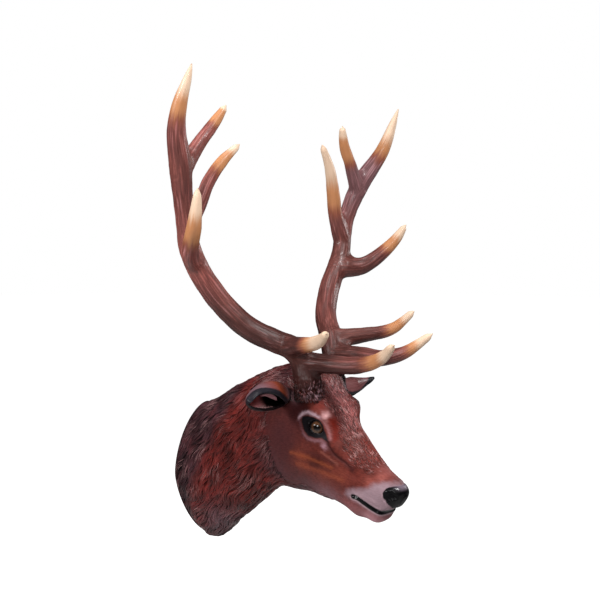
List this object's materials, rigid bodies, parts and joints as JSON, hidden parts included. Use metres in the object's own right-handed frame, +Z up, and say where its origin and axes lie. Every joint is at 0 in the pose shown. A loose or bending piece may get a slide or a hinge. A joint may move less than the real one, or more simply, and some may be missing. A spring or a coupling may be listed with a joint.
{
  "type": "red deer stag head wall statue",
  "caption": "Life-size painted resin head and neck of a red deer stag with branching antlers, hung flat on a wall.",
  "frame": {"origin": "a point of the flat back of the neck, 0.18 m above its lowest edge, on the midline", "axes": "+Y into the wall, so the stag looks along -Y; +Z up; +X towards the stag's left side"},
  "size_m": [0.7954, 0.7004, 1.1952],
  "materials": {
    "coat": "cast resin with carved hair, painted red-brown and dry-brushed, satin",
    "nose": "cast resin painted black under a wet-look varnish",
    "ear": "cast resin painted brown with a slate rim, satin",
    "eye": "amber iris and dark pupil under a clear gloss",
    "antler": "cast resin with grooves, painted brown with cream tips, satin"
  },
  "bodies": {
    "root": {"neck": "coat", "head": "coat", "lower_jaw": "coat", "nose_pad": "nose", "ear_left": "ear", "ear_right": "ear", "eye_left": "eye", "eye_right": "eye", "antler_left_beam_lower": "antler", "antler_left_beam_upper": "antler", "antler_left_crown_outer_tine": "antler", "antler_left_brow_tine": "antler", "antler_left_bez_tine": "antler", "antler_left_trez_tine": "antler", "antler_left_crown_rear_tine": "antler", "antler_left_crown_inner_tine": "antler", "antler_right_beam_lower": "antler", "antler_right_beam_upper": "antler", "antler_right_crown_outer_tine": "antler", "antler_right_brow_tine": "antler", "antler_right_bez_tine": "antler", "antler_right_trez_tine": "antler", "antler_right_crown_rear_tine": "antler", "antler_right_crown_inner_tine": "antler"}
  },
  "joints": []
}
